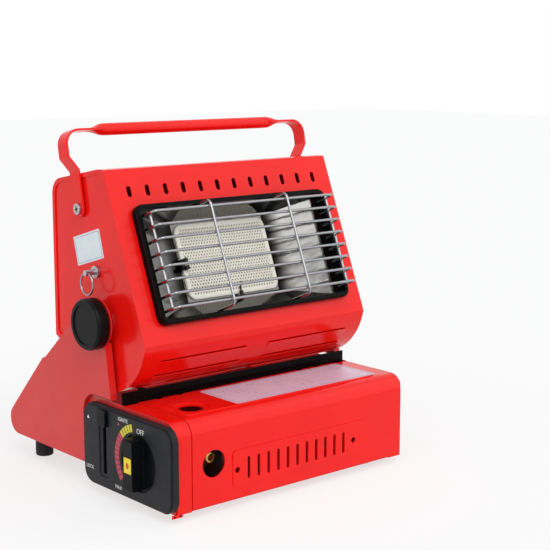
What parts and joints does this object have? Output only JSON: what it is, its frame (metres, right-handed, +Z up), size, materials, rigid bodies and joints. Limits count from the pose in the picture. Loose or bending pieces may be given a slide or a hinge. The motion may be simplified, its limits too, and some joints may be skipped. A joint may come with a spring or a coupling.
{
  "type": "portable propane heater",
  "caption": "Tabletop infrared gas heater: a cartridge box with hinged lid and control dial, two side plates, and a tilting guarded heater head with a folding carry handle.",
  "frame": {"origin": "middle of the footprint, on the ground", "axes": "+Z up, -Y the side that the head faces, +X the end away from the control panel"},
  "size_m": [0.2998, 0.2698, 0.3233],
  "materials": {
    "red_paint": "glossy red enamel on sheet steel",
    "black_paint": "gloss black heat-proof paint",
    "black_plastic": "fine-grained black moulded plastic",
    "yellow_plastic": "yellow plastic inlay",
    "rubber_feet": "black rubber",
    "hose_rubber": "black gas hose",
    "chrome_wire": "chrome-plated wire",
    "plated_steel": "bright zinc-plated steel",
    "polished_steel": "polished stainless sheet",
    "dark_steel": "dark steel",
    "cast_alloy": "die-cast alloy",
    "brass": "turned brass",
    "ceramic_tile": "porous cream ceramic",
    "white_ceramic": "glazed white ceramic"
  },
  "bodies": {
    "base": {"base_pan": "red_paint", "left_end_cap": "red_paint", "right_end_cap": "red_paint", "left_leg": "red_paint", "right_leg": "red_paint", "rear_brace": "red_paint", "rear_feet": "rubber_feet", "front_feet": "rubber_feet", "foot_screws": "plated_steel", "control_panel": "black_plastic", "panel_screws": "plated_steel", "heat_shield": "black_paint", "hinge_brackets": "red_paint", "hinge_pin": "plated_steel", "regulator_body": "cast_alloy", "gas_inlet_nipple": "brass", "cartridge_collar": "plated_steel", "cartridge_cradle": "plated_steel", "piezo_igniter": "black_plastic", "gas_hose": "hose_rubber", "pivot_bushes": "plated_steel", "knob_washers": "plated_steel"},
    "dial": {"valve_spindle": "brass", "dial_knob": "black_plastic", "dial_pointer": "yellow_plastic"},
    "lever": {"cartridge_lever": "black_plastic"},
    "lid": {"fuel_lid": "red_paint"},
    "head": {"head_casing": "red_paint", "head_left_side": "red_paint", "head_right_side": "red_paint", "window_bezel": "black_paint", "guard_grille": "chrome_wire", "reflector": "polished_steel", "ceramic_plaque": "ceramic_tile", "plaque_frame": "polished_steel", "burner_box": "dark_steel", "mixing_tube": "polished_steel", "gas_jet": "brass", "spark_electrode": "white_ceramic", "thermocouple": "dark_steel", "pivot_nuts": "plated_steel", "handle_rivets": "plated_steel", "lock_bush": "plated_steel", "lock_spring": "plated_steel"},
    "pin": {"lock_pin": "plated_steel"},
    "ring": {"pull_ring": "plated_steel"},
    "handle": {"handle_strap": "red_paint", "handle_grip": "red_paint"},
    "left_knob": {"left_tilt_knob": "black_plastic", "left_knob_stud": "plated_steel"},
    "right_knob": {"right_tilt_knob": "black_plastic", "right_knob_stud": "plated_steel"}
  },
  "joints": [
    {"name": "head_tilt", "type": "hinge", "parent": "base", "child": "head", "pos_m": [0.00095, -0.0221, 0.154], "axis": [-1, 0, 0], "range_deg": [-22, 68]},
    {"name": "handle_swing", "type": "hinge", "parent": "head", "child": "handle", "pos_m": [0.00095, 0.0126, 0.25], "axis": [-1, 0, 0], "range_deg": [-75, 70]},
    {"name": "lid_hinge", "type": "hinge", "parent": "base", "child": "lid", "pos_m": [0.00095, -0.0557, 0.0826], "axis": [-1, 0, 0], "range_deg": [0, 45]},
    {"name": "dial_turn", "type": "hinge", "parent": "base", "child": "dial", "pos_m": [-0.13895, -0.0871, 0.044], "axis": [1, 0, 0], "range_deg": [-150, 0]},
    {"name": "lever_slide", "type": "slide", "parent": "base", "child": "lever", "axis": [0, 0, -1], "range_m": [0, 0.045]},
    {"name": "pin_pull", "type": "slide", "parent": "head", "child": "pin", "axis": [-1, 0, 0], "range_m": [0, 0.008], "stiffness_N_per_m": 300, "springref_m": -0.002, "deforming": ["lock_spring"]},
    {"name": "ring_swing", "type": "hinge", "parent": "pin", "child": "ring", "pos_m": [-0.13645, -0.0101, 0.1966], "axis": [0, 1, 0], "range_deg": [0, 90]},
    {"name": "left_knob_turn", "type": "hinge", "parent": "base", "child": "left_knob", "pos_m": [-0.13505, -0.0221, 0.154], "axis": [-1, 0, 0], "range_deg": [0, 360]},
    {"name": "right_knob_turn", "type": "hinge", "parent": "base", "child": "right_knob", "pos_m": [0.13695, -0.0221, 0.154], "axis": [1, 0, 0], "range_deg": [0, 360]}
  ]
}
